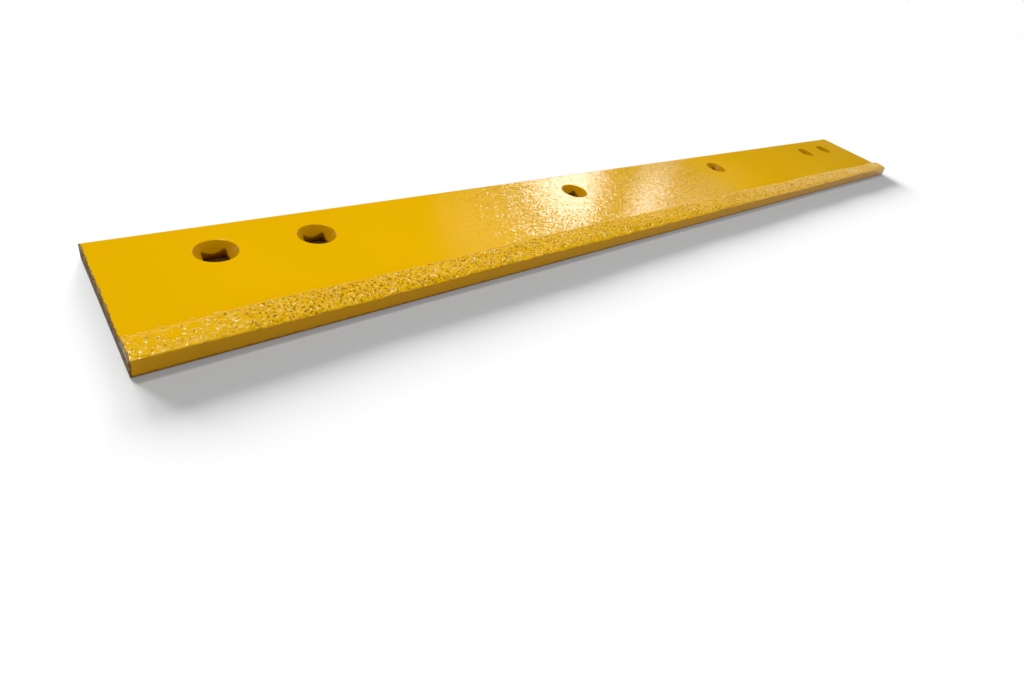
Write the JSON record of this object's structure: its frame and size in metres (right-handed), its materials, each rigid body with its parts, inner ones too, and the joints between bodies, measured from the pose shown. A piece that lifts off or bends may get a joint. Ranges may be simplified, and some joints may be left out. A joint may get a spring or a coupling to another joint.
{
  "type": "carbide snowplow blade",
  "caption": "Flat steel cutting edge for a snowplow, with countersunk square bolt holes along its top and a rough carbide overlay along its lower edge.",
  "frame": {"origin": "middle of the bar's back face, which is the middle of the whole part's base", "axes": "+X along the blade, +Y from the cutting edge to the top edge, +Z out of the front face"},
  "size_m": [1.2192, 0.1396, 0.017],
  "materials": {
    "painted_bar": "glossy yellow enamel with a fine orange peel; bare brown steel on the cut ends",
    "painted_grit": "coarse carbide grit in weld metal under glossy yellow enamel"
  },
  "bodies": {
    "root": {"blade_bar": "painted_bar", "carbide_overlay": "painted_grit"}
  },
  "joints": []
}
